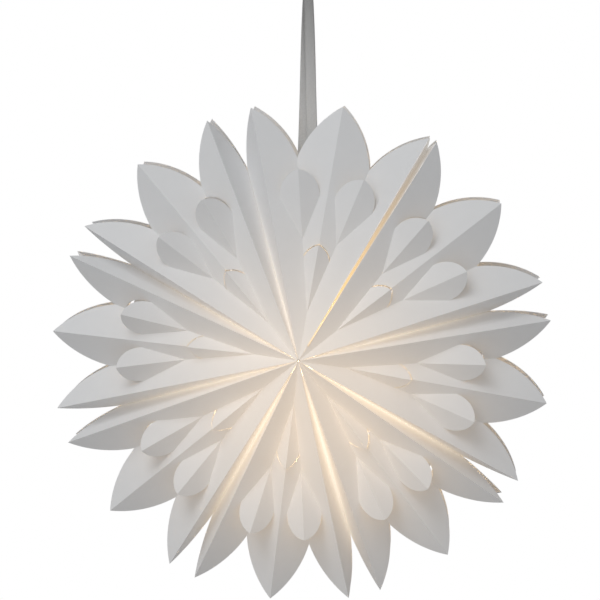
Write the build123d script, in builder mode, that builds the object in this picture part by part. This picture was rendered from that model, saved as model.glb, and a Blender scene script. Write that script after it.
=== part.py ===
from build123d import *
import os
from math import acos, asin, atan2, cos, degrees, hypot, pi, radians, sin, tan

# Pleated paper star pendant, 600 mm across, hung from a ribbon loop and lit from inside.
# Millimetres and degrees. +Z is up, the star faces -Y, and the origin is where the loop
# bears on its hook. Azimuths run clockwise from straight up, seen from the front.

# Where the star hangs below its loop
loop_to_centre = 440.0      # hook to the star's centre
star_behind_hook = -46.0    # the middle plane of the star, in Y
star_aside = -5.0           # the centre of the star, in X

# The flat paper of one leaf: petals side by side round the pole, all from one cutter
petal_reach = 305.5         # pole to petal tip
notch_reach = 243.0         # pole to the notch between two petals
half_petal = 10.75          # angle of half a petal
belly_reach = 269.5         # where the petal's edge bows out, along its fold
belly_width = 33.7          # and half its width there
paper = 0.8                 # depth of the sheet, along the star's axis

# How far the leaf is opened out
pole_height = 93.0          # pole above the star's middle plane
ridge_fall = 11.0           # slope of the outer ridges, down from the pole
cell_middles = (9.6, 52.6, 100.9, 143.7, 187.1, 230.4, 275.2, 319.5)
ridge_spreads = (20.95, 20.3, 19.1, 17.7, 18.2, 18.55, 17.9, 18.8)

# The popped-out folds
apex_reach = 59.0           # pole to the point where the middle fold turns outwards
bud_side = 66.0             # the small petal: apex to where its cut edge starts
bud_reach = 80.0            # and apex to its tip
bud_lift = 5.0              # how much steeper it stands than the fold behind it
bud_slit = 1.8              # the slit round its tip
petal_apex = 87.0           # the middle petals: apex of the fold to their own apex
petal_length = 84.0
petal_shoulder = 49.0       # their widest place, along the petal
petal_half_width = 24.7
petal_bow = (70.0, 19.5)    # a point of the cut edge, along and across the petal

# Ribs between neighbouring cells, and the two stiff cards at the seam
rib_card = 0.8
rib_fit = 0.1               # between a rib's face and the leaves glued along it
end_card = 0.8
rib_start = 20.0            # inner end of ribs and cards, from the axis
window_height = 58.0        # the lamp's window at the ribs' inner end, from the middle
window_reach = 96.0         # and its reach along the middle plane
dot_reach = 150.0           # touch-fastener dots that close the seam
dot_radius = 8.0
dot_gap = 0.3               # between the two dots when the seam is closed

# Hanging ribbon and its toggle
ribbon_width = 13.5
ribbon_weave = 0.6          # thickness
bend_radius = 1.5           # inside of the ribbon's bend over the hook
strand_spread = 12.0        # between the two strands' middles, down at the star
slot_reach = 229.0          # the slot in the back leaf, above the star's centre
slot_height = 3.2
slot_margin = 1.3           # slot beyond the ribbon, each side
toggle_radius = 2.5
toggle_length = 42.0
soft_gap = 0.3              # between soft pieces and what they wrap

# Lamp: bail of wire, lampholder and bulb
wire_radius = 1.0
bail_spread = 16.5          # the bail's eyes, each side of the toggle's middle
eye_wire = 1.2              # radius of the closed rings of the bail
wire_sides = 6              # flats on the wire of those rings
neck_radius = 5.2
neck_length = 5.0
holder_radius = 14.0
holder_length = 40.0        # the holder's body, below its cap
holder_taper = 2.0          # draft of the holder's side
holder_top = 30.0           # top of the body, above the star's centre
holder_wall = 2.0
cap_height = 12.0
crown_steps = 5             # straight steps in the cap's rounded shoulder
grip_radius = 6.6
grip_height = 8.0
cord_bore = 3.3             # radius of the way in for a lamp cord
screw_radius = 6.9          # the bulb's screw cap
screw_length = 22.0
socket_gap = 0.4
bulb_radius = 22.5
bulb_throat = 9.0           # radius of the bulb where it leaves its cap
bulb_length = 52.0          # glass below the screw cap
ball_steps = 12             # straight steps in the bulb's round profile

star = Vector(star_aside, star_behind_hook, -loop_to_centre)
room = rib_card / 2 + rib_fit
cells = range(8)
seam_after = 0              # the seam follows the first cell, clockwise
fold_reach = notch_reach * cos(radians(half_petal))
fold_width = notch_reach * sin(radians(half_petal))


def ray(azimuth, elevation=0.0, side=1):
    """Unit vector, side 1 to the front and -1 to the back."""
    a, e = radians(azimuth), radians(elevation)
    return Vector(cos(e) * sin(a), -side * sin(e), cos(e) * cos(a))


def valley_elevation(ridge, spread, paper_angle):
    """Elevation of the valley that lies paper_angle from a ridge and spread round from it."""
    up = sin(radians(ridge))
    out = cos(radians(ridge)) * cos(radians(spread))
    swing = acos(cos(radians(paper_angle)) / hypot(up, out))
    return degrees(atan2(up, out) - swing)


def gap_after(k):
    """Angle between the last ridge of cell k and the first ridge of the next."""
    n = (k + 1) % len(cells)
    turn = (cell_middles[n] - cell_middles[k]) % 360
    return turn - ridge_spreads[k] - ridge_spreads[n]


def wall_after(k):
    """Azimuth of the wall between cell k and the next."""
    return (cell_middles[k] + ridge_spreads[k] + gap_after(k) / 2) % 360


def radial_plane(azimuth):
    """Upright plane through the star's axis: x outwards, y to the front, z clockwise."""
    a = radians(azimuth)
    return Plane(origin=star, x_dir=ray(azimuth), z_dir=(cos(a), 0, -sin(a)))


def panel_plane(origin, along, toward):
    return Plane(origin=origin, x_dir=along, z_dir=along.cross(toward))


def press_back(panel, side):
    """Gives a flat panel the paper's depth."""
    extrude(panel.sketch, amount=paper, dir=(0, side, 0))


def leaf_half(k, side, hand, with_strip):
    """One half of a leaf, from its middle fold to the wall: five flat panels and a bud."""
    middle, spread = cell_middles[k], ridge_spreads[k]
    gap = gap_after(k) if hand > 0 else gap_after(k - 1)
    pole = star + Vector(0, -side * pole_height, 0)
    ridge = ray(middle + hand * spread, -ridge_fall, side)
    fold_elevation = valley_elevation(-ridge_fall, spread, 2 * half_petal)
    fold = ray(middle, fold_elevation, side)
    apex = pole + fold * apex_reach
    notch = (ridge + fold) * (notch_reach * sin(radians(half_petal)) / sin(radians(2 * half_petal)))
    crease = (pole + notch - apex).normalized()
    crease_fall = degrees(atan2(-side * crease.Y, crease.dot(ray(middle))))
    kite_elevation = 2 * crease_fall - fold_elevation
    kite_ridge = ray(middle, kite_elevation, side)

    # flat places on the flank, x along the outer ridge, measured from the pole
    turn = radians(2 * half_petal)
    flat_apex = Vector(apex_reach * cos(turn), apex_reach * sin(turn))
    flat_notch = Vector(fold_reach, fold_width)
    flat_crease = (flat_notch - flat_apex).normalized()
    to_ridge = Vector(flat_crease.Y, -flat_crease.X)
    petal_root = flat_apex + flat_crease * petal_apex
    shoulder = petal_root + flat_crease * petal_shoulder + to_ridge * petal_half_width
    bow = petal_root + flat_crease * petal_bow[0] + to_ridge * petal_bow[1]
    petal_tip = petal_root + flat_crease * petal_length

    if with_strip:
        strip_elevation = valley_elevation(-ridge_fall, gap / 2, half_petal)
        valley = ray(middle + hand * (spread + gap / 2), strip_elevation, side)
        with BuildSketch(panel_plane(pole, ridge, valley)) as strip:
            with BuildLine():
                Line((0, 0), (petal_reach, 0))
                ThreePointArc((petal_reach, 0), (belly_reach, belly_width), (fold_reach, fold_width))
                Line((fold_reach, fold_width), (0, 0))
            make_face()
        press_back(strip, side)

    flank = panel_plane(pole, ridge, fold)
    with BuildSketch(flank) as flank_panel:
        with BuildLine():
            Line((0, 0), (petal_reach, 0))
            ThreePointArc((petal_reach, 0), (belly_reach, belly_width), flat_notch)
            Line(flat_notch, petal_tip)
            ThreePointArc(petal_tip, bow, shoulder)
            Polyline(shoulder, petal_root, flat_apex, (0, 0))
        make_face()
    press_back(flank_panel, side)

    # the middle fold, x along its ridge, measured from the apex
    kite = panel_plane(apex, kite_ridge, crease)
    lean = atan2(fold_width, fold_reach - apex_reach)
    kite_crease = Vector(cos(lean), sin(lean))
    to_middle = Vector(sin(lean), -cos(lean))
    kite_root = kite_crease * petal_apex
    kite_shoulder = kite_root + kite_crease * petal_shoulder + to_middle * petal_half_width
    kite_bow = kite_root + kite_crease * petal_bow[0] + to_middle * petal_bow[1]
    slit_side = kite_crease * (bud_side + bud_slit)
    slit_tip = Vector(bud_reach + bud_slit, 0)
    slit_bow = (slit_side + slit_tip) * 0.5 + (slit_tip - slit_side) .rotate(Axis.Z, 90) * 0.12
    with BuildSketch(kite) as kite_panel:
        with BuildLine():
            Line(slit_tip, (petal_reach - apex_reach, 0))
            ThreePointArc((petal_reach - apex_reach, 0), (belly_reach - apex_reach, belly_width),
                          (fold_reach - apex_reach, fold_width))
            Line((fold_reach - apex_reach, fold_width), kite_crease * (petal_apex + petal_length))
            ThreePointArc(kite_crease * (petal_apex + petal_length), kite_bow, kite_shoulder)
            Polyline(kite_shoulder, kite_root, slit_side)
            ThreePointArc(slit_side, slit_bow, slit_tip)
        make_face()
    press_back(kite_panel, side)

    # the small petal stands a little steeper, which opens the slit round its tip
    bud_ridge = ray(middle, kite_elevation + bud_lift, side)
    bud = panel_plane(apex, bud_ridge, crease)
    bud_lean = radians(bud_ridge.get_angle(crease))
    bud_corner = Vector(bud_side * cos(bud_lean), bud_side * sin(bud_lean))
    bud_tip = Vector(bud_reach, 0)
    bud_bow = (bud_corner + bud_tip) * 0.5 + (bud_tip - bud_corner).rotate(Axis.Z, 90) * 0.12
    with BuildSketch(bud) as bud_panel:
        with BuildLine():
            Line((0, 0), bud_tip)
            ThreePointArc(bud_tip, bud_bow, bud_corner)
            Line(bud_corner, (0, 0))
        make_face()
    press_back(bud_panel, side)

    # the middle petal: the crease turned outwards between its apex and its two shoulders
    root = apex + crease * petal_apex
    on_flank = flank.from_local_coords(shoulder) - root
    on_kite = kite.from_local_coords(kite_shoulder) - root
    hinge = on_flank.cross(on_kite).normalized()
    petal_ridge = crease - hinge * (2 * crease.dot(hinge))
    for base in (on_flank, on_kite):
        with BuildSketch(panel_plane(root, petal_ridge, base)) as petal_panel:
            with BuildLine():
                Line((0, 0), (petal_length, 0))
                ThreePointArc((petal_length, 0), petal_bow, (petal_shoulder, petal_half_width))
                Line((petal_shoulder, petal_half_width), (0, 0))
            make_face()
        press_back(petal_panel, side)


def trim_wall(azimuth, before, after):
    """Clears the room of a rib or card, before and after its plane, clockwise."""
    with BuildSketch(radial_plane(azimuth).offset((after - before) / 2)) as room_of_wall:
        with Locations((petal_reach / 2, 0)):
            Rectangle(1.2 * petal_reach, 3 * pole_height)
    extrude(room_of_wall.sketch, amount=(before + after) / 2, both=True, mode=Mode.SUBTRACT)


def deep_valley(k):
    """Elevation of the valley after cell k, and how far its sides rise at the rib's faces."""
    half_gap = gap_after(k) / 2
    elevation = valley_elevation(-ridge_fall, half_gap, half_petal)
    strip = ray(half_gap, -ridge_fall).cross(ray(0, elevation))
    return elevation, abs(strip.X / strip.Y) * room


# Front and back leaves: one folded sheet each, eight to a side
for side_name, side in (("front", 1), ("back", -1)):
    for k in cells:
        with BuildPart() as leaf:
            for hand in (-1, 1):
                wall = k if hand > 0 else k - 1
                leaf_half(k, side, hand, with_strip=wall != seam_after)
            trim_wall(wall_after(k - 1), room, room)
            trim_wall(wall_after(k), room, room)
            if k == seam_after:
                trim_wall(cell_middles[k] + ridge_spreads[k], end_card + rib_fit, 2)
            if k == seam_after + 1:
                trim_wall(cell_middles[k] - ridge_spreads[k], 2, end_card + rib_fit)
            if k == seam_after and side < 0:
                slot = Plane(origin=(0, 0, star.Z + slot_reach), x_dir=(1, 0, 0), z_dir=(0, 1, 0))
                with BuildSketch(slot):
                    Rectangle(ribbon_width + strand_spread + 2 * slot_margin, slot_height)
                extrude(amount=-pole_height, mode=Mode.SUBTRACT)
        leaf.part.label = f"{side_name}_leaf_{k + 1}"
        os.makedirs("parts", exist_ok=True)
        export_step(leaf.part, f"parts/{side_name}_leaf_{k + 1}.step")

# Ribs: between the two deep valleys of neighbouring cells, open round the lamp
for k in cells:
    if k == seam_after:
        continue
    elevation, rise = deep_valley(k)
    fall = radians(elevation)
    outer = (notch_reach * cos(fall), pole_height + rise + notch_reach * sin(fall))
    inner = (rib_start, pole_height + rise + rib_start * tan(fall))
    with BuildPart() as rib:
        with BuildSketch(radial_plane(wall_after(k))):
            with BuildLine():
                Polyline((rib_start, window_height), inner, outer)
                Line(outer, (outer[0], -outer[1]))
                Polyline((outer[0], -outer[1]), (inner[0], -inner[1]), (rib_start, -window_height))
                ThreePointArc((rib_start, -window_height), (window_reach, 0), (rib_start, window_height))
            make_face()
        extrude(amount=rib_card / 2, both=True)
    rib.part.label = f"rib_{k + 1}"
    export_step(rib.part, f"parts/rib_{k + 1}.step")

# End cards: the walls of the seam, which carry the outermost half petals
seam_fall = radians(-ridge_fall - half_petal)
ridge_line = radians(-ridge_fall)
card_notch = (notch_reach * cos(seam_fall), pole_height + notch_reach * sin(seam_fall))
card_tip = (petal_reach * cos(ridge_line), pole_height + petal_reach * sin(ridge_line))
card_belly = (belly_reach * cos(ridge_line) + belly_width * sin(ridge_line),
              pole_height + belly_reach * sin(ridge_line) - belly_width * cos(ridge_line))
card_inner = (rib_start, pole_height + rib_start * tan(ridge_line))


def flip(point):
    return (point[0], -point[1])


seam_ridges = {
    "left_end_card": (cell_middles[0] + ridge_spreads[0], -end_card),
    "right_end_card": (cell_middles[1] - ridge_spreads[1], end_card),
}
for card_name, (azimuth, thickness) in seam_ridges.items():
    with BuildPart() as card:
        with BuildSketch(radial_plane(azimuth)):
            with BuildLine():
                Polyline((rib_start, window_height), card_inner, card_tip)
                ThreePointArc(card_tip, card_belly, card_notch)
                Line(card_notch, flip(card_notch))
                ThreePointArc(flip(card_notch), flip(card_belly), flip(card_tip))
                Polyline(flip(card_tip), flip(card_inner), (rib_start, -window_height))
                ThreePointArc((rib_start, -window_height), (window_reach, 0), (rib_start, window_height))
            make_face()
        extrude(amount=thickness)
    card.part.label = card_name
    export_step(card.part, f"parts/{card_name}.step")

# Touch-fastener dots on the cards' facing sides
seam_middle = (seam_ridges["left_end_card"][0] + seam_ridges["right_end_card"][0]) / 2
half_seam = seam_ridges["right_end_card"][0] - seam_middle
for dot_name, hand in (("left_seam_dot", -1), ("right_seam_dot", 1)):
    seat = radial_plane(seam_middle + hand * half_seam)
    meeting = radial_plane(seam_middle)
    with BuildPart() as dot:
        with BuildSketch(seat):
            with Locations((dot_reach, 0)):
                Circle(dot_radius)
        extrude(amount=-hand * dot_reach * tan(radians(2 * half_seam)))
        with BuildSketch(meeting.offset(hand * dot_gap / 2)):
            with Locations((dot_reach, 0)):
                Rectangle(4 * dot_radius, 4 * dot_radius)
        extrude(amount=-hand * dot_reach, mode=Mode.SUBTRACT)
    dot.part.label = dot_name
    export_step(dot.part, f"parts/{dot_name}.step")

# Hanging ribbon: over the hook, down behind the star and in through the slot to the toggle
slot_z = star.Z + slot_reach
wrap = toggle_radius + soft_gap + ribbon_weave
spread = ridge_spreads[0]
fold_ray = ray(cell_middles[0], valley_elevation(-ridge_fall, spread, 2 * half_petal), -1)
ridge_ray = ray(cell_middles[0] - spread, -ridge_fall, -1)
crease_start = fold_ray * apex_reach
crease_end = (ridge_ray + fold_ray) * (fold_width / sin(radians(2 * half_petal)))
crease_run = crease_end - crease_start
crease_slope = crease_run.Y / crease_run.Z
crease_y = pole_height + crease_start.Y + (slot_reach - crease_start.Z) * crease_slope
toggle_y = star.Y + crease_y - paper - (wrap + soft_gap) * hypot(1, crease_slope)
strand_y = bend_radius + ribbon_weave / 2
bend_z = -bend_radius

with BuildPart() as ribbon:
    with BuildSketch(Plane.YZ):
        with Locations((0, bend_z)):
            Circle(bend_radius + ribbon_weave)
            Circle(bend_radius, mode=Mode.SUBTRACT)
        with Locations((0, bend_z - bend_radius)):
            Rectangle(4 * bend_radius, 2 * bend_radius, mode=Mode.SUBTRACT)
    extrude(amount=ribbon_width / 2, both=True)
    for y, aside in ((-strand_y, strand_spread / 2), (strand_y, -strand_spread / 2)):
        with BuildSketch(Plane(origin=(0, y, 0), x_dir=(1, 0, 0), z_dir=(0, -1, 0))):
            with BuildLine():
                Polyline((-ribbon_width / 2, bend_z), (ribbon_width / 2, bend_z),
                         (ribbon_width / 2 + aside, slot_z - ribbon_weave),
                         (-ribbon_width / 2 + aside, slot_z - ribbon_weave), close=True)
            make_face()
        extrude(amount=ribbon_weave / 2, both=True)
    with BuildSketch(Plane.YZ):
        with Locations((toggle_y, slot_z)):
            Circle(wrap)
        with BuildLine():
            Polyline((toggle_y, slot_z + ribbon_weave), (strand_y, slot_z + ribbon_weave),
                     (strand_y, slot_z - ribbon_weave), (toggle_y, slot_z - ribbon_weave), close=True)
        make_face()
        with Locations((toggle_y, slot_z)):
            Circle(toggle_radius + soft_gap, mode=Mode.SUBTRACT)
    extrude(amount=(ribbon_width + strand_spread) / 2, both=True)
ribbon.part.label = "hanging_ribbon"
export_step(ribbon.part, "parts/hanging_ribbon.step")

with BuildPart() as toggle:
    with BuildSketch(Plane.YZ):
        with Locations((toggle_y, slot_z)):
            Circle(toggle_radius)
    extrude(amount=toggle_length / 2, both=True)
    chamfer(toggle.edges().filter_by(GeomType.CIRCLE), toggle_radius / 5)
toggle.part.label = "ribbon_toggle"
export_step(toggle.part, "parts/ribbon_toggle.step")

# Wire bail: two eyes on the toggle, two legs, and a ring round the lampholder's neck
holder_seat = Plane(origin=star + Vector(0, 0, holder_top), z_dir=(0, 0, 1))
ring_z = cap_height + neck_length / 2
eye_radius = toggle_radius + soft_gap + eye_wire
ring_radius = neck_radius + soft_gap + eye_wire
ring_centre = holder_seat.from_local_coords((0, 0, ring_z))
with BuildPart() as bail:
    with BuildSketch(Plane(origin=ring_centre, x_dir=(1, 0, 0), z_dir=(0, -1, 0))):
        with Locations((ring_radius, 0)):
            RegularPolygon(eye_wire, wire_sides)
    revolve(axis=Axis(ring_centre, (0, 0, 1)))
    for hand in (-1, 1):
        eye = Vector(hand * bail_spread, toggle_y, slot_z)
        with BuildSketch(Plane(origin=eye, x_dir=(0, 1, 0), z_dir=(0, 0, 1))):
            with Locations((eye_radius, 0)):
                RegularPolygon(eye_wire, wire_sides)
        revolve(axis=Axis(eye, (1, 0, 0)))
        foot = ring_centre + Vector(hand * (ring_radius + soft_gap), 0, 0)
        head = eye - Vector(0, 0, eye_radius)
        with BuildSketch(Plane(origin=foot, z_dir=head - foot)):
            Circle(wire_radius)
        extrude(amount=(head - foot).length)
bail.part.label = "lamp_bail"
export_step(bail.part, "parts/lamp_bail.step")

# Lampholder, drawn from the top of its body, and its bulb
crown = ThreePointArc((holder_radius, cap_height / 3),
                      (holder_radius * 0.82, cap_height * 0.8), (neck_radius, cap_height))
crown_points = [crown @ (n / crown_steps) for n in range(crown_steps + 1)]
with BuildPart() as cap:
    with BuildSketch(Plane(origin=holder_seat.origin, x_dir=(1, 0, 0), z_dir=(0, -1, 0))):
        with BuildLine():
            Polyline((cord_bore, cap_height + neck_length), (cord_bore, 0), (holder_radius, 0),
                     *crown_points, (neck_radius, cap_height + neck_length), close=True)
        make_face()
    revolve(axis=Axis(holder_seat.origin, (0, 0, 1)))
cap.part.label = "lampholder_cap"
export_step(cap.part, "parts/lampholder_cap.step")

with BuildPart() as grip:
    with BuildSketch(holder_seat.offset(cap_height + neck_length)):
        RegularPolygon(grip_radius, 6, rotation=30)
    extrude(amount=grip_height)
    with BuildSketch(holder_seat.offset(cap_height + neck_length)):
        Circle(cord_bore)
    extrude(amount=grip_height, mode=Mode.SUBTRACT)
grip.part.label = "cord_grip"
export_step(grip.part, "parts/cord_grip.step")

shade_ring_top = -holder_length / 3
shade_ring_foot = shade_ring_top - holder_wall
socket_radius = screw_radius + socket_gap
socket_roof = -holder_length + screw_length + socket_gap


def side_radius(height):
    """Radius of the holder's tapered side at a height below its seat."""
    return holder_radius + height * tan(radians(holder_taper))


with BuildPart() as holder:
    with BuildSketch(Plane(origin=holder_seat.origin, x_dir=(1, 0, 0), z_dir=(0, -1, 0))):
        with BuildLine():
            Polyline((0, 0), (holder_radius, 0), (side_radius(shade_ring_top), shade_ring_top),
                     (holder_radius + holder_wall, shade_ring_top),
                     (holder_radius + holder_wall, shade_ring_foot),
                     (side_radius(shade_ring_foot), shade_ring_foot),
                     (side_radius(-holder_length), -holder_length), (socket_radius, -holder_length),
                     (socket_radius, socket_roof), (0, socket_roof), close=True)
        make_face()
    revolve(axis=Axis(holder_seat.origin, (0, 0, 1)))
holder.part.label = "lampholder_body"
export_step(holder.part, "parts/lampholder_body.step")

mouth = holder_seat.offset(-holder_length)
with BuildPart() as screw:
    with BuildSketch(mouth):
        Circle(screw_radius)
    extrude(amount=screw_length)
screw.part.label = "bulb_screw_cap"
export_step(screw.part, "parts/bulb_screw_cap.step")

ball_z = -bulb_length + bulb_radius
throat_angle = asin(bulb_throat / bulb_radius)
ball_angles = [throat_angle + (pi - throat_angle) * n / ball_steps for n in range(ball_steps)]
ball_points = [(bulb_radius * sin(turn), ball_z + bulb_radius * cos(turn)) for turn in ball_angles]
with BuildPart() as bulb:
    with BuildSketch(Plane(origin=mouth.origin, x_dir=(1, 0, 0), z_dir=(0, -1, 0))):
        with BuildLine():
            Polyline((0, 0), (bulb_throat, 0), *ball_points, (0, -bulb_length), close=True)
        make_face()
    revolve(axis=Axis(mouth.origin, (0, 0, 1)))
bulb.part.label = "bulb_glass"
export_step(bulb.part, "parts/bulb_glass.step")
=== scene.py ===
"""Pleated paper star pendant, 600 mm across, hung from a ribbon loop and lit by a small bulb inside."""
from math import acos, atan2, cos, degrees, exp, hypot, pi, radians, sin, tan

import bmesh
import bpy
from mathutils import Matrix, Vector, noise


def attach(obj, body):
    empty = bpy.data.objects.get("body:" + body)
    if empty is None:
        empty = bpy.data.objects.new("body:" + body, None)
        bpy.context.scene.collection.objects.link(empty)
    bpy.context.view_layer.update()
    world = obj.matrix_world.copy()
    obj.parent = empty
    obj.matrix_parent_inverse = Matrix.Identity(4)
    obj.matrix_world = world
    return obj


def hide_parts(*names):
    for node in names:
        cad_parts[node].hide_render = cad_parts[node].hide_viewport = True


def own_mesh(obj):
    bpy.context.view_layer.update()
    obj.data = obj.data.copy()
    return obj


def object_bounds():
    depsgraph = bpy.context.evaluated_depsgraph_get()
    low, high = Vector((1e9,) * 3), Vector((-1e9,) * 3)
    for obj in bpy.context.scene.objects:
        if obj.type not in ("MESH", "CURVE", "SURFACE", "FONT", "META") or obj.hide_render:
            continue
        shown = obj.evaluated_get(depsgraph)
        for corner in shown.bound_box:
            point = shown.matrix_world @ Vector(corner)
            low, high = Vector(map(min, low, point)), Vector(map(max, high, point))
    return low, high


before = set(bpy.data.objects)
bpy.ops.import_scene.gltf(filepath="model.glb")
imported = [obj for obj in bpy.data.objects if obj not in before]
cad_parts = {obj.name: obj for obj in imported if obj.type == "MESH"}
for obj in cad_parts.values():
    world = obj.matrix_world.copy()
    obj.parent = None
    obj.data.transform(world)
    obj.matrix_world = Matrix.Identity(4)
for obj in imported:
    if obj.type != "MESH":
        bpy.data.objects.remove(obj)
cad_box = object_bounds()
mm = 0.001

# The star's centre, and the eight cells clockwise from the top, in degrees
star = Vector((-5, -46, -440)) * mm
cell_middles = (9.6, 52.6, 100.9, 143.7, 187.1, 230.4, 275.2, 319.5)
ridge_spreads = (20.95, 20.3, 19.1, 17.7, 18.2, 18.55, 17.9, 18.8)
seam_after = 0

# The paper of one leaf, from its pole
petal_reach = 305.5 * mm
notch_reach = 243.0 * mm
half_petal = radians(10.75)
belly_reach = 269.5 * mm
belly_width = 33.7 * mm
pole_height = 93.0 * mm
ridge_fall = 11.0
apex_reach = 59.0 * mm
bud_side = 66.0 * mm
bud_reach = 80.0 * mm
bud_lift = 5.0
bud_slit = 1.8 * mm
bud_roundness = 0.12
petal_apex = 87.0 * mm
petal_length = 84.0 * mm
petal_shoulder = 49.0 * mm
petal_half_width = 24.7 * mm
petal_bow = (70.0 * mm, 19.5 * mm)
sheet_thickness = 0.45 * mm
wall_room = 0.1 * mm
pole_opening = 1.0 * mm
wave_length = 70 * mm
wave_height = 0.9 * mm
row_height_mm = 15
column_width_mm = 14
weld = 0.01 * mm
fold_reach = notch_reach * cos(half_petal)
fold_width = notch_reach * sin(half_petal)

# Ribs between the cells
rib_thickness = 0.8 * mm
rib_start = 20 * mm
window_height = 58 * mm
window_reach = 96 * mm

# The stiff cards at the seam and the dots between them
card_thickness = 0.7 * mm
cards_apart = 0.4 * mm
dot_reach = 150 * mm
dot_radius = 8 * mm
dot_depth = 2.0 * mm
dot_press = 1.3 * dot_radius
card_fullness = 1.6
card_row = 10 * mm
card_column = 6 * mm
card_lines = 31

# The ribbon
ribbon_width = 13.5 * mm
ribbon_weave = 0.5 * mm
strand_spread = 12 * mm
strand_sway = 0.8 * mm
ribbon_curl = 1.2 * mm
bend_radius = 1.5 * mm
slot_z = star.z + 229 * mm


# ---------------------------------------------------------------- places on the star

def ray(azimuth, elevation=0.0, side=1):
    """Unit vector, clockwise from up, side 1 to the front and -1 to the back."""
    a, e = radians(azimuth), radians(elevation)
    return Vector((cos(e) * sin(a), -side * sin(e), cos(e) * cos(a)))


def valley_elevation(ridge, spread, paper_angle):
    """Elevation of a valley that lies paper_angle (radians) from a ridge, spread round from it."""
    up = sin(radians(ridge))
    out = cos(radians(ridge)) * cos(radians(spread))
    return degrees(atan2(up, out) - acos(cos(paper_angle) / hypot(up, out)))


def gap_after(k):
    """Angle between the last ridge of cell k and the first ridge of the next."""
    n = (k + 1) % 8
    turn = (cell_middles[n] - cell_middles[k]) % 360
    return turn - ridge_spreads[k] - ridge_spreads[n]


def wall_after(k):
    """Azimuth of the wall between cell k and the next."""
    return (cell_middles[k] + ridge_spreads[k] + gap_after(k) / 2) % 360


def wall_normal(azimuth):
    """Clockwise normal of the wall that stands at this azimuth."""
    return Vector((cos(radians(azimuth)), 0, -sin(radians(azimuth))))


# ---------------------------------------------------------------- mesh helpers

def mesh_object(name, bm):
    mesh = bpy.data.meshes.new(name)
    bm.to_mesh(mesh)
    bm.free()
    piece = bpy.data.objects.new(name, mesh)
    bpy.context.scene.collection.objects.link(piece)
    return piece


def settle(piece):
    """Applies the piece's modifiers."""
    graph = bpy.context.evaluated_depsgraph_get()
    graph.update()
    finished = bpy.data.meshes.new_from_object(piece.evaluated_get(graph))
    piece.modifiers.clear()
    piece.data = finished
    return piece


def cut(bm, place, normal, **clear):
    """Cuts the whole mesh along a plane; clear_outer or clear_inner drops one side."""
    bmesh.ops.bisect_plane(bm, geom=bm.verts[:] + bm.edges[:] + bm.faces[:], plane_co=place,
                           plane_no=normal, dist=1e-6, **clear)


def thicken(piece, thickness, offset=-1):
    wall = piece.modifiers.new("thickness", "SOLIDIFY")
    wall.thickness = thickness
    wall.offset = offset
    wall.use_even_offset = False
    return settle(piece)


def arc_centre(a, b, c):
    """Centre of the arc through three flat places."""
    ab, bc = b - a, c - b
    cross = ab.x * bc.y - ab.y * bc.x
    middle_ab, middle_bc = (a + b) / 2, (b + c) / 2
    across = middle_bc - middle_ab
    share = (across.x * bc.x + across.y * bc.y) / cross
    return middle_ab + Vector((-ab.y, ab.x)) * share


def outline_face(stretches, arc_steps=14):
    """One flat face in XY. A stretch of two places is straight, and one of three is an arc."""
    bm = bmesh.new()
    for stretch in stretches:
        places = [Vector(p[:2]) for p in stretch]
        start = bm.verts.new((*places[0], 0))
        if len(places) == 2:
            end = bm.verts.new((*places[1], 0))
            bm.edges.new((start, end))
            continue
        centre = arc_centre(*places)
        first, last = places[0] - centre, places[2] - centre
        through = places[1] - centre
        turn = first.angle_signed(last, 0) * -1
        if (first.angle_signed(through, 0) * -1) * turn < 0:
            turn -= 2 * pi * (1 if turn > 0 else -1)
        bmesh.ops.spin(bm, geom=[start], cent=(*centre, 0), axis=(0, 0, 1), dvec=(0, 0, 0),
                       angle=turn, steps=arc_steps, use_merge=False)
    bmesh.ops.remove_doubles(bm, verts=bm.verts, dist=1e-6)
    bmesh.ops.contextual_create(bm, geom=bm.edges[:])
    return bm


def frame_of(origin, along, toward):
    """Matrix that lays a flat outline on the panel through origin, along and toward."""
    normal = along.cross(toward).normalized()
    turned = Matrix((along.normalized(), normal.cross(along).normalized(), normal)).transposed()
    return Matrix.Translation(origin) @ turned.to_4x4()


def add_panel(bm, place, stretches, arc_steps=14):
    """Adds a flat panel of the folded sheet to bm."""
    panel = outline_face(stretches, arc_steps)
    panel.transform(place)
    loose = bpy.data.meshes.new("panel")
    panel.to_mesh(loose)
    panel.free()
    bm.from_mesh(loose)
    bpy.data.meshes.remove(loose)


# ---------------------------------------------------------------- the folded leaves

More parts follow.
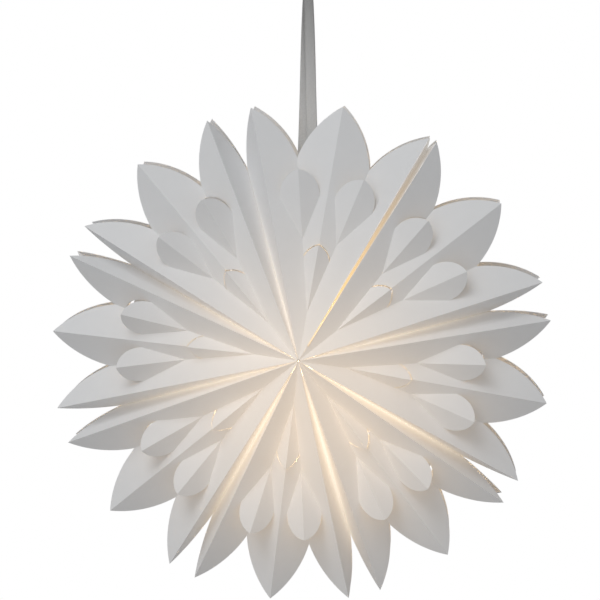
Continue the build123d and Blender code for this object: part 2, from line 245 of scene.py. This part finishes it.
def half_leaf(bm, k, side, hand, with_strip):
    """The panels of half a leaf, between its middle fold and the wall on the hand side."""
    middle, spread = cell_middles[k], ridge_spreads[k]
    gap = gap_after(k) if hand > 0 else gap_after(k - 1)
    pole = star + Vector((0, -side * pole_height, 0))
    ridge = ray(middle + hand * spread, -ridge_fall, side)
    fold_elevation = valley_elevation(-ridge_fall, spread, 2 * half_petal)
    fold = ray(middle, fold_elevation, side)
    apex = pole + fold * apex_reach
    notch = (ridge + fold) * (fold_width / sin(2 * half_petal))
    crease = (pole + notch - apex).normalized()
    crease_fall = degrees(atan2(-side * crease.y, crease.dot(ray(middle))))
    kite_elevation = 2 * crease_fall - fold_elevation
    kite_ridge = ray(middle, kite_elevation, side)
    belly = Vector((belly_reach, belly_width))
    notch_place = Vector((fold_reach, fold_width))

    if with_strip:
        strip_elevation = valley_elevation(-ridge_fall, gap / 2, half_petal)
        valley = ray(middle + hand * (spread + gap / 2), strip_elevation, side)
        add_panel(bm, frame_of(pole, ridge, valley),
                  [((0, 0), (petal_reach, 0)), ((petal_reach, 0), belly, notch_place),
                   (notch_place, (0, 0))])

    turn = 2 * half_petal
    flat_apex = Vector((cos(turn), sin(turn))) * apex_reach
    flat_crease = (notch_place - flat_apex).normalized()
    to_ridge = Vector((flat_crease.y, -flat_crease.x))

    def on_petal(root, along, across, place):
        return root + along * place[0] + across * place[1]

    root = flat_apex + flat_crease * petal_apex
    shoulder = on_petal(root, flat_crease, to_ridge, (petal_shoulder, petal_half_width))
    bow = on_petal(root, flat_crease, to_ridge, petal_bow)
    tip = root + flat_crease * petal_length
    corner = flat_apex + flat_crease * bud_side
    slit = flat_apex + flat_crease * (bud_side + bud_slit)
    flank = frame_of(pole, ridge, fold)
    add_panel(bm, flank,
              [((0, 0), (petal_reach, 0)), ((petal_reach, 0), belly, notch_place), (notch_place, tip),
               (tip, bow, shoulder), (shoulder, root), (root, slit), (slit, corner),
               (corner, flat_apex), (flat_apex, (0, 0))])

    lean = atan2(fold_width, fold_reach - apex_reach)
    kite_crease = Vector((cos(lean), sin(lean)))
    to_middle = Vector((sin(lean), -cos(lean)))
    kite_root = kite_crease * petal_apex
    kite_shoulder = on_petal(kite_root, kite_crease, to_middle, (petal_shoulder, petal_half_width))
    kite_bow = on_petal(kite_root, kite_crease, to_middle, petal_bow)
    kite_tip = kite_crease * (petal_apex + petal_length)
    out = Vector((apex_reach, 0))
    slit_side = kite_crease * (bud_side + bud_slit)
    slit_tip = Vector((bud_reach + bud_slit, 0))
    chord = slit_tip - slit_side
    slit_bow = (slit_side + slit_tip) / 2 + Vector((-chord.y, chord.x)) * bud_roundness
    kite = frame_of(apex, kite_ridge, crease)
    add_panel(bm, kite,
              [(slit_tip, (petal_reach - apex_reach, 0)),
               ((petal_reach - apex_reach, 0), belly - out, notch_place - out),
               (notch_place - out, kite_tip), (kite_tip, kite_bow, kite_shoulder),
               (kite_shoulder, kite_root), (kite_root, slit_side),
               (slit_side, slit_bow, slit_tip)])

    bud_ridge = ray(middle, kite_elevation + bud_lift, side)
    bud_lean = bud_ridge.angle(crease)
    bud_corner = Vector((cos(bud_lean), sin(bud_lean))) * bud_side
    bud_tip = Vector((bud_reach, 0))
    chord = bud_tip - bud_corner
    bud_bow = (bud_corner + bud_tip) / 2 + Vector((-chord.y, chord.x)) * bud_roundness
    add_panel(bm, frame_of(apex, bud_ridge, crease),
              [((0, 0), bud_tip), (bud_tip, bud_bow, bud_corner), (bud_corner, (0, 0))])

    petal_root = apex + crease * petal_apex
    on_flank = flank @ Vector((*shoulder, 0)) - petal_root
    on_kite = kite @ Vector((*kite_shoulder, 0)) - petal_root
    hinge = on_flank.cross(on_kite).normalized()
    petal_ridge = crease - hinge * (2 * crease.dot(hinge))
    for base in (on_flank, on_kite):
        add_panel(bm, frame_of(petal_root, petal_ridge, base),
                  [((0, 0), (petal_length, 0)),
                   ((petal_length, 0), petal_bow, (petal_shoulder, petal_half_width)),
                   ((petal_shoulder, petal_half_width), (0, 0))])


def soften(bm, seed):
    """Lets the paper wave a little, off its flat panels, along Y, but not past the star's depth."""
    front, back = cad_box[0][1], cad_box[1][1]
    for vert in bm.verts:
        wave = noise.noise(vert.co / wave_length + Vector((seed, 0, 0)))
        vert.co.y = max(front, min(back, vert.co.y + wave * wave_height))


def leaf(k, side):
    """One folded sheet of paper."""
    side_name = "front" if side > 0 else "back"
    bm = bmesh.new()
    for hand in (-1, 1):
        wall = k if hand > 0 else k - 1
        half_leaf(bm, k, side, hand, with_strip=wall % 8 != seam_after)
    bmesh.ops.remove_doubles(bm, verts=bm.verts, dist=weld)
    for hand, wall in ((-1, k - 1), (1, k)):
        normal = wall_normal(wall_after(wall)) * hand
        cut(bm, star - normal * wall_room, normal, clear_outer=True)
    across = wall_normal(cell_middles[k])
    along = ray(cell_middles[k])
    cut(bm, star + along * pole_opening, along, clear_inner=True)
    for step in range(1, 21):
        cut(bm, star + along * step * row_height_mm * mm, along)
    for step in range(-9, 10):
        cut(bm, star + across * step * column_width_mm * mm, across)
    wrong = [f for f in bm.faces if f.normal.y * side > 0]
    bmesh.ops.reverse_faces(bm, faces=wrong)
    lay_folds(bm, k)
    soften(bm, k * 3.1 + side)
    piece = mesh_object(f"{side_name}_leaf_paper_{k + 1}", bm)
    thicken(piece, sheet_thickness)
    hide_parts(f"{side_name}_leaf_{k + 1}")
    piece.data.materials.append(paper)
    return piece


def lay_folds(bm, k):
    """UV map of the sheet: across from the nearer wall, and out from the star's axis."""
    layer = bm.loops.layers.uv.new("folds")
    middle_normal = wall_normal(cell_middles[k])
    for face in bm.faces:
        hand = 1 if (face.calc_center_median() - star).dot(middle_normal) > 0 else -1
        azimuth = wall_after(k if hand > 0 else k - 1)
        normal = wall_normal(azimuth) * hand
        out = ray(azimuth)
        for loop in face.loops:
            place = loop.vert.co - star
            loop[layer].uv = (-place.dot(normal), place.dot(out))


def down(place):
    """The place mirrored from the front half of a wall to its back half."""
    return (place[0], -place[1])


def rib(k):
    """The card wall between cell k and the next, open round the lamp."""
    azimuth = wall_after(k)
    half_gap = gap_after(k) / 2
    fall = radians(valley_elevation(-ridge_fall, half_gap, half_petal))
    outer = Vector((notch_reach * cos(fall), pole_height + notch_reach * sin(fall)))
    inner = Vector((rib_start, pole_height + rib_start * tan(fall)))
    window_top = (rib_start, window_height)
    face = outline_face([(window_top, inner), (inner, outer), (outer, down(outer)),
                         (down(outer), down(inner)), (down(inner), down(window_top)),
                         (down(window_top), (window_reach, 0), window_top)], 24)
    upright = Matrix((ray(azimuth), Vector((0, -1, 0)), -wall_normal(azimuth))).transposed()
    face.transform(Matrix.Translation(star) @ upright.to_4x4())
    piece = mesh_object(f"rib_card_{k + 1}", face)
    thicken(piece, rib_thickness, 0)
    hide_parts(f"rib_{k + 1}")
    piece.data.materials.append(rib_paper)
    return piece


# ---------------------------------------------------------------- the seam

def end_card(hand):
    """The stiff card at the seam, bowed to the other: -1 is the first cell's, 1 the second's."""
    cell = 0 if hand < 0 else 1
    azimuth = cell_middles[cell] - hand * ridge_spreads[cell]
    half_seam = gap_after(seam_after) / 2
    ridge_line, seam_fall = radians(-ridge_fall), radians(-ridge_fall) - half_petal
    notch = Vector((notch_reach * cos(seam_fall), pole_height + notch_reach * sin(seam_fall)))
    tip = Vector((petal_reach * cos(ridge_line), pole_height + petal_reach * sin(ridge_line)))
    belly = Vector((belly_reach * cos(ridge_line) + belly_width * sin(ridge_line),
                    pole_height + belly_reach * sin(ridge_line) - belly_width * cos(ridge_line)))
    inner = Vector((rib_start, pole_height + rib_start * tan(ridge_line)))
    window_top = (rib_start, window_height)
    face = outline_face([(window_top, inner), (inner, tip), (tip, belly, notch), (notch, down(notch)),
                         (down(notch), down(belly), down(tip)), (down(tip), down(inner)),
                         (down(inner), down(window_top)),
                         (down(window_top), (window_reach, 0), window_top)], 24)
    for line in range(card_lines):
        cut(face, Vector((1, 0, 0)) * line * card_row, Vector((1, 0, 0)))
    for line in range(-(card_lines // 2), card_lines - card_lines // 2):
        cut(face, Vector((0, 1, 0)) * line * card_column, Vector((0, 1, 0)))
    for vert in face.verts:
        out, up = vert.co.x, vert.co.y
        edge = pole_height - out * tan(radians(ridge_fall))
        middle = max(0.0, 1 - (up / edge) ** 2)
        from_dot = hypot(out - dot_reach, up)
        free = out * tan(radians(half_seam)) - cards_apart / 2
        free -= dot_depth * exp(-(from_dot / dot_press) ** 4)
        vert.co.z = free * min(1.0, card_fullness * middle) * -hand
    bmesh.ops.reverse_faces(face, faces=[f for f in face.faces if f.normal.z < 0])
    upright = Matrix((ray(azimuth), Vector((0, -1, 0)), wall_normal(azimuth))).transposed()
    face.transform(Matrix.Translation(star) @ upright.to_4x4())
    side_name = "left" if hand < 0 else "right"
    piece = mesh_object(f"{side_name}_end_card_sheet", face)
    thicken(piece, card_thickness, hand)
    for polygon in piece.data.polygons:
        polygon.use_smooth = True
    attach(piece, f"{side_name}_card")
    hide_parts(f"{side_name}_end_card")
    piece.data.materials.append(silver_card)
    return piece


# ---------------------------------------------------------------- the ribbon

def ribbon():
    """Two strands, up from the slot, and the bend over the hook, as one strip of cloth."""
    rows, columns = 120, 8
    bm = bmesh.new()
    bmesh.ops.create_grid(bm, x_segments=columns, y_segments=rows, size=0.5)
    drop = -bend_radius - slot_z
    bend = pi * (bend_radius + ribbon_weave / 2)
    length = 2 * drop + bend
    for vert in bm.verts:
        across, along = vert.co.x * ribbon_width, (vert.co.y + 0.5) * length
        strand_y = bend_radius + ribbon_weave / 2
        if along < drop:
            z, y, hand = slot_z + along, -strand_y, 1
        elif along > drop + bend:
            z, y, hand = slot_z + (length - along), strand_y, -1
        else:
            angle = (along - drop) / bend * pi
            z, y, hand = -bend_radius + sin(angle) * strand_y, -cos(angle) * strand_y, 0
        low = max(0.0, min(1.0, (-bend_radius - z) / drop))
        top = 1 - low
        curl = 0.78 + 0.22 * low ** 0.5
        aside = hand * strand_spread / 2 * low
        sway = hand * strand_sway * sin(low * 5.0) * (1 - low)
        bow = (abs(vert.co.x) * 2) ** 2 * ribbon_curl * top * (1 if y < 0 else -1)
        vert.co = Vector((across * curl + aside + sway, y + bow, z))
    piece = mesh_object("ribbon_strip", bm)
    thicken(piece, ribbon_weave, 0)
    for face in piece.data.polygons:
        face.use_smooth = True
    piece.data.materials.append(woven)
    return piece, length


# ---------------------------------------------------------------- node helpers

def new_group(name, inputs, outputs):
    group = bpy.data.node_groups.new(name, "ShaderNodeTree")
    for label, kind, value in inputs:
        socket = group.interface.new_socket(label, in_out="INPUT", socket_type=kind)
        socket.default_value = value
    for label, kind in outputs:
        group.interface.new_socket(label, in_out="OUTPUT", socket_type=kind)
    return group, group.nodes.new("NodeGroupInput"), group.nodes.new("NodeGroupOutput")


def wire(tree, source, target):
    tree.links.new(source, target)


def math_node(tree, operation, a, b=0.0, clamp=False):
    node = tree.nodes.new("ShaderNodeMath")
    node.operation = operation
    node.use_clamp = clamp
    for socket, value in ((node.inputs[0], a), (node.inputs[1], b)):
        if isinstance(value, (int, float)):
            socket.default_value = value
        else:
            tree.links.new(value, socket)
    return node.outputs[0]


def mix_colour(tree, share, a, b):
    node = tree.nodes.new("ShaderNodeMix")
    node.data_type = "RGBA"
    for socket, value in ((node.inputs[0], share), (node.inputs[6], a), (node.inputs[7], b)):
        if isinstance(value, (int, float)):
            socket.default_value = value
        elif isinstance(value, tuple):
            socket.default_value = (*value, 1)
        else:
            tree.links.new(value, socket)
    return node.outputs[2]


def noise_node(tree, vector, scale, detail=2.0, roughness=0.5):
    node = tree.nodes.new("ShaderNodeTexNoise")
    node.inputs["Scale"].default_value = scale
    node.inputs["Detail"].default_value = detail
    node.inputs["Roughness"].default_value = roughness
    tree.links.new(vector, node.inputs["Vector"])
    return node.outputs[0]


def new_material(name, roughness, specular=0.5, metallic=0.0, colour=None):
    material = bpy.data.materials.new(name)
    material.use_nodes = True
    tree = material.node_tree
    shader = tree.nodes["Principled BSDF"]
    shader.inputs["Roughness"].default_value = roughness
    shader.inputs["Specular IOR Level"].default_value = specular
    shader.inputs["Metallic"].default_value = metallic
    if colour:
        shader.inputs["Base Color"].default_value = (*colour, 1)
    return material, tree, shader


def bump(tree, height, strength, distance, shader):
    node = tree.nodes.new("ShaderNodeBump")
    node.inputs["Strength"].default_value = strength
    node.inputs["Distance"].default_value = distance
    tree.links.new(height, node.inputs["Height"])
    tree.links.new(node.outputs[0], shader.inputs["Normal"])


# ---------------------------------------------------------------- shared effects

# Where the lamp's glow is brightest in the paper, and how it spreads
glow_centre = Vector((14, 0, -62)) * mm
glow_depth = 0.35
valley_glow_reach = 170 * mm


def fibre_group():
    """Paper fibre: fine tooth, short fibres and broad mottling, from object coordinates."""
    group, inside, outside = new_group(
        "paper_fibre", [("Tooth", "NodeSocketFloat", 900.0)],
        [("Mottle", "NodeSocketFloat"), ("Height", "NodeSocketFloat")])
    place = group.nodes.new("ShaderNodeTexCoord").outputs["Object"]
    tooth = group.nodes.new("ShaderNodeTexNoise")
    tooth.inputs["Detail"].default_value = 3
    wire(group, place, tooth.inputs["Vector"])
    wire(group, inside.outputs["Tooth"], tooth.inputs["Scale"])
    stretch = group.nodes.new("ShaderNodeMapping")
    stretch.inputs["Scale"].default_value = (1, 1, 0.22)
    stretch.inputs["Rotation"].default_value = (0, 0.6, 0)
    wire(group, place, stretch.inputs["Vector"])
    fibres = noise_node(group, stretch.outputs[0], 420, 3, 0.65)
    broad = noise_node(group, place, 16, 2)
    cloud = noise_node(group, place, 60, 3)
    mottle = math_node(group, "ADD", math_node(group, "MULTIPLY", broad, 0.5),
                       math_node(group, "MULTIPLY", cloud, 0.5))
    wire(group, mottle, outside.inputs["Mottle"])
    height = math_node(group, "ADD", math_node(group, "MULTIPLY", tooth.outputs[0], 0.5),
                       math_node(group, "MULTIPLY", fibres, 0.5))
    wire(group, height, outside.inputs["Height"])
    return group


def glow_group():
    """How much lamplight comes through the paper at a place, from 0 to 1."""
    group, inside, outside = new_group(
        "lamp_glow", [("Reach", "NodeSocketFloat", valley_glow_reach)], [("Glow", "NodeSocketFloat")])
    place = group.nodes.new("ShaderNodeTexCoord").outputs["Object"]
    from_lamp = group.nodes.new("ShaderNodeVectorMath")
    from_lamp.operation = "SUBTRACT"
    from_lamp.inputs[1].default_value = star + glow_centre
    wire(group, place, from_lamp.inputs[0])
    flat = group.nodes.new("ShaderNodeVectorMath")
    flat.operation = "MULTIPLY"
    flat.inputs[1].default_value = (1, glow_depth, 1)
    wire(group, from_lamp.outputs[0], flat.inputs[0])
    length = group.nodes.new("ShaderNodeVectorMath")
    length.operation = "LENGTH"
    wire(group, flat.outputs[0], length.inputs[0])
    share = math_node(group, "DIVIDE", length.outputs["Value"], inside.outputs["Reach"])
    squared = math_node(group, "POWER", share, 2.0)
    glow = math_node(group, "EXPONENT", math_node(group, "MULTIPLY", squared, -1.0))
    wire(group, glow, outside.inputs["Glow"])
    return group


def place_group(tree, group):
    node = tree.nodes.new("ShaderNodeGroup")
    node.node_tree = group
    return node


# ---------------------------------------------------------------- finishes

# Lamplight in the paper, painted as emission: through the sheets, out of the deep valleys, and none at
# the pole's hole, where a dark spot is painted as the hole's shade
through_paper = (0.31, 0.21, 0.11)
through_reach = 155 * mm
valley_light = (0.38, 0.325, 0.25)
valley_glow_turn = 0.018
painted_pole_shade_radius = 1.5 * mm
card_glow_reach = 200 * mm


def bell(tree, value, width, power):
    """Falls from 1 at nothing towards 0 past the width."""
    share = math_node(tree, "POWER", math_node(tree, "DIVIDE", value, width), power)
    return math_node(tree, "EXPONENT", math_node(tree, "MULTIPLY", share, -1.0))


def leaf_paper_finish():
    material, tree, shader = new_material("white_paper", 0.72, 0.25)
    fibre, glow = place_group(tree, fibre_group_tree), place_group(tree, glow_group_tree)
    glow.inputs["Reach"].default_value = through_reach
    colour = mix_colour(tree, fibre.outputs["Mottle"], (0.795, 0.803, 0.815), (0.855, 0.863, 0.875))
    folds = tree.nodes.new("ShaderNodeUVMap")
    folds.uv_map = "folds"
    split = tree.nodes.new("ShaderNodeSeparateXYZ")
    wire(tree, folds.outputs[0], split.inputs[0])
    out = math_node(tree, "MAXIMUM", split.outputs[1], 1 * mm)
    turn = math_node(tree, "DIVIDE", split.outputs[0], out)
    near_wall = bell(tree, turn, valley_glow_turn, 1.5)
    start = tree.nodes.new("ShaderNodeMapRange")
    start.inputs["From Max"].default_value = 50 * mm
    start.inputs["To Min"].default_value = 0.35
    wire(tree, out, start.inputs["Value"])
    valley_glow = place_group(tree, glow_group_tree)
    valley_glow.inputs["Reach"].default_value = valley_glow_reach
    line = math_node(tree, "MULTIPLY", near_wall, valley_glow.outputs["Glow"])
    line = math_node(tree, "MULTIPLY", line, start.outputs[0])
    # Painted shade: a dark spot at the pole, in base colour and emission, stands for the shade in the
    # hole there
    painted_pole_shade_mask = math_node(tree, "LESS_THAN", split.outputs[1], painted_pole_shade_radius)
    wire(tree, mix_colour(tree, painted_pole_shade_mask, colour, (0.05, 0.035, 0.03)), shader.inputs["Base Color"])
    # Painted light: the paper glows with emission for the lamplight through the sheets and the bright
    # lines along the deep valleys
    through = mix_colour(tree, glow.outputs["Glow"], (0, 0, 0), through_paper)
    painted_lamplight = mix_colour(tree, line, through, valley_light)
    painted_lamplight = mix_colour(tree, painted_pole_shade_mask, painted_lamplight, (0.02, 0.01, 0.01))
    wire(tree, painted_lamplight, shader.inputs["Emission Color"])
    shader.inputs["Emission Strength"].default_value = 1.0
    bump(tree, fibre.outputs["Height"], 0.35, 0.00025, shader)
    return material


def rib_paper_finish():
    material, tree, shader = new_material("rib_card", 0.8, 0.2)
    fibre = place_group(tree, fibre_group_tree)
    wire(tree, mix_colour(tree, fibre.outputs["Mottle"], (0.78, 0.77, 0.75), (0.83, 0.82, 0.8)),
         shader.inputs["Base Color"])
    bump(tree, fibre.outputs["Height"], 0.3, 0.0002, shader)
    return material


def silver_card_finish():
    material, tree, shader = new_material("silver_grey_card", 0.42, 0.5, 0.35)
    fibre = place_group(tree, fibre_group_tree)
    wire(tree, mix_colour(tree, fibre.outputs["Mottle"], (0.50, 0.50, 0.50), (0.60, 0.60, 0.595)),
         shader.inputs["Base Color"])
    # Painted light: the card glows grey all over and warm orange near the lamp, for lamplight in the
    # seam
    near_lamp = place_group(tree, glow_group_tree)
    near_lamp.inputs["Reach"].default_value = card_glow_reach
    painted_lamplight = mix_colour(tree, near_lamp.outputs["Glow"], (0.15, 0.145, 0.14), (0.72, 0.46, 0.17))
    wire(tree, painted_lamplight, shader.inputs["Emission Color"])
    shader.inputs["Emission Strength"].default_value = 1.0
    bump(tree, fibre.outputs["Height"], 0.25, 0.0002, shader)
    return material


def woven_finish():
    material, tree, shader = new_material("silver_ribbon", 0.5, 0.4, 0.25)
    place = tree.nodes.new("ShaderNodeTexCoord").outputs["Object"]
    weft = tree.nodes.new("ShaderNodeTexWave")
    weft.wave_type, weft.bands_direction = "BANDS", "Z"
    weft.inputs["Scale"].default_value = 260
    weft.inputs["Distortion"].default_value = 0.6
    wire(tree, place, weft.inputs["Vector"])
    warp = tree.nodes.new("ShaderNodeTexWave")
    warp.wave_type, warp.bands_direction = "BANDS", "X"
    warp.inputs["Scale"].default_value = 420
    wire(tree, place, warp.inputs["Vector"])
    # Painted glints: near-white specks in the base colour stand in for the ribbon's sparkle
    painted_glint_speck = noise_node(tree, place, 1100, 2, 0.7)
    weave = math_node(tree, "MULTIPLY", weft.outputs["Fac"], warp.outputs["Fac"])
    weave_and_painted_glint = math_node(tree, "ADD", math_node(tree, "MULTIPLY", weave, 0.5),
                      math_node(tree, "MULTIPLY", painted_glint_speck, 0.6), True)
    split = tree.nodes.new("ShaderNodeSeparateXYZ")
    wire(tree, place, split.inputs[0])
    height = tree.nodes.new("ShaderNodeMapRange")
    height.inputs["From Min"].default_value = slot_z
    height.inputs["From Max"].default_value = 0
    wire(tree, split.outputs[2], height.inputs["Value"])
    # Painted light and shade: the ribbon is painted lighter near the star and darker towards the hook
    painted_lit_near_star = mix_colour(tree, weave_and_painted_glint, (0.45, 0.45, 0.45), (1.0, 1.0, 0.99))
    painted_shade_near_hook = mix_colour(tree, weave_and_painted_glint, (0.12, 0.12, 0.12), (0.42, 0.42, 0.42))
    wire(tree, mix_colour(tree, height.outputs[0], painted_lit_near_star, painted_shade_near_hook), shader.inputs["Base Color"])
    bump(tree, math_node(tree, "ADD", weave, painted_glint_speck), 0.5, 0.0003, shader)
    return material


def plain_finish(name, colour, roughness, metallic=0.0, grain=0.06):
    material, tree, shader = new_material(name, roughness, 0.5, metallic)
    place = tree.nodes.new("ShaderNodeTexCoord").outputs["Object"]
    speck = noise_node(tree, place, 700, 3)
    dark = tuple(c * (1 - grain) for c in colour)
    wire(tree, mix_colour(tree, speck, dark, colour), shader.inputs["Base Color"])
    bump(tree, speck, 0.12, 0.0001, shader)
    return material


def lit_glass_finish():
    material, tree, shader = new_material("frosted_lit_glass", 0.35, 0.5, 0.0, (0.95, 0.93, 0.88))
    place = tree.nodes.new("ShaderNodeTexCoord").outputs["Object"]
    frost = noise_node(tree, place, 300, 3)
    wire(tree, mix_colour(tree, frost, (1.0, 0.72, 0.42), (1.0, 0.78, 0.5)),
         shader.inputs["Emission Color"])
    shader.inputs["Emission Strength"].default_value = 6.0
    return material


# ---------------------------------------------------------------- the scene

bulb_middle = Vector((0, 0, -39.5)) * mm
bulb_light_radius = 24 * mm
light_for_paper = 0.335
floor_height = -2.3


def add_camera(distance=3.1, azimuth=2.7, elevation=5.8, view_width=0.7234, rise=0.0620, aside=-0.0025):
    """A view from a little above and to the right of the star's own axis."""
    a, e = radians(azimuth), radians(elevation)
    back = Vector((sin(a) * cos(e), -cos(a) * cos(e), sin(e)))
    right = Vector((cos(a), sin(a), 0))
    up = back.cross(right)
    data = bpy.data.cameras.new("camera")
    data.sensor_width = 36
    data.lens = 36 * distance / view_width
    data.clip_end = 50
    camera = bpy.data.objects.new("camera", data)
    camera.matrix_world = (Matrix.Translation(star + up * rise + right * aside + back * distance)
                           @ Matrix((right, up, back)).transposed().to_4x4())
    bpy.context.scene.collection.objects.link(camera)
    bpy.context.scene.camera = camera


def add_area(name, place, aim, size, power, colour=(1, 1, 1)):
    data = bpy.data.lights.new(name, "AREA")
    data.shape, data.size, data.energy, data.color = "DISK", size, power, colour
    lamp = bpy.data.objects.new(name, data)
    lamp.location = place
    lamp.rotation_euler = (Vector(aim) - Vector(place)).to_track_quat("-Z", "Y").to_euler()
    bpy.context.scene.collection.objects.link(lamp)


def add_lights():
    add_area("light_above", star + Vector((-0.8, -1.7, 2.0)), star, 1.6, 21, (0.985, 0.995, 1.0))
    add_area("light_front", star + Vector((-1.0, -3.0, 0.6)), star, 2.0, 9.5)
    data = bpy.data.lights.new("lamplight", "POINT")
    data.energy, data.color, data.shadow_soft_size = 4.0, (1.0, 0.66, 0.34), bulb_light_radius
    glow = bpy.data.objects.new("lamplight", data)
    glow.location = star + bulb_middle
    bpy.context.scene.collection.objects.link(glow)


def add_world():
    world = bpy.data.worlds.new("studio")
    bpy.context.scene.world = world
    world.use_nodes = True
    tree = world.node_tree
    background = tree.nodes["Background"]
    path = tree.nodes.new("ShaderNodeLightPath")
    seen = math_node(tree, "MAXIMUM", path.outputs["Is Camera Ray"], path.outputs["Is Transmission Ray"])
    seen = math_node(tree, "MAXIMUM", seen, path.outputs["Is Glossy Ray"])
    strength = tree.nodes.new("ShaderNodeMapRange")
    strength.inputs["To Min"].default_value = light_for_paper
    strength.inputs["To Max"].default_value = 1.0
    wire(tree, seen, strength.inputs["Value"])
    background.inputs["Color"].default_value = (1, 1, 1, 1)
    wire(tree, strength.outputs[0], background.inputs["Strength"])


def add_floor():
    bm = bmesh.new()
    bmesh.ops.create_grid(bm, x_segments=1, y_segments=1, size=1.6)
    bmesh.ops.translate(bm, vec=(star.x, star.y, floor_height), verts=bm.verts)
    floor = mesh_object("floor", bm)
    material, _, _ = new_material("pale_floor", 0.8, 0.2, 0.0, (0.9, 0.9, 0.9))
    floor.data.materials.append(material)


add_camera()
fibre_group_tree = fibre_group()
glow_group_tree = glow_group()
paper = leaf_paper_finish()
rib_paper = rib_paper_finish()
silver_card = silver_card_finish()
woven = woven_finish()

# The eight cells: each one's front and back leaves and, except at the seam, its rib, on the cell's body
for k in range(8):
    body = "hanging_cell" if k == 0 else f"cell_{k + 1}"
    pieces = [leaf(k, 1), leaf(k, -1)]
    if k != seam_after:
        pieces.append(rib(k))
    for piece in pieces:
        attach(piece, body)
        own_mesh(piece)

for hand in (-1, 1):
    end_card(hand)

strip, strip_length = ribbon()
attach(strip, "hanging_cell")
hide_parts("hanging_ribbon")

node_finishes = {
    "left_seam_dot": plain_finish("fastener_felt", (0.8, 0.8, 0.79), 0.9),
    "ribbon_toggle": plain_finish("toggle_plastic", (0.8, 0.8, 0.78), 0.4),
    "lamp_bail": plain_finish("bright_wire", (0.6, 0.6, 0.6), 0.3, 1.0),
    "lampholder_cap": plain_finish("holder_plastic", (0.82, 0.82, 0.8), 0.3),
    "bulb_screw_cap": plain_finish("plated_cap", (0.7, 0.66, 0.56), 0.3, 1.0),
    "bulb_glass": lit_glass_finish(),
}
node_finishes["right_seam_dot"] = node_finishes["left_seam_dot"]
node_finishes["lampholder_body"] = node_finishes["lampholder_cap"]
node_finishes["cord_grip"] = node_finishes["lampholder_cap"]
for node, material in node_finishes.items():
    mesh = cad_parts[node].data
    mesh.materials.clear()
    mesh.materials.append(material)

add_lights()
add_world()
add_floor()
view = bpy.context.scene.view_settings
view.view_transform = "Standard"
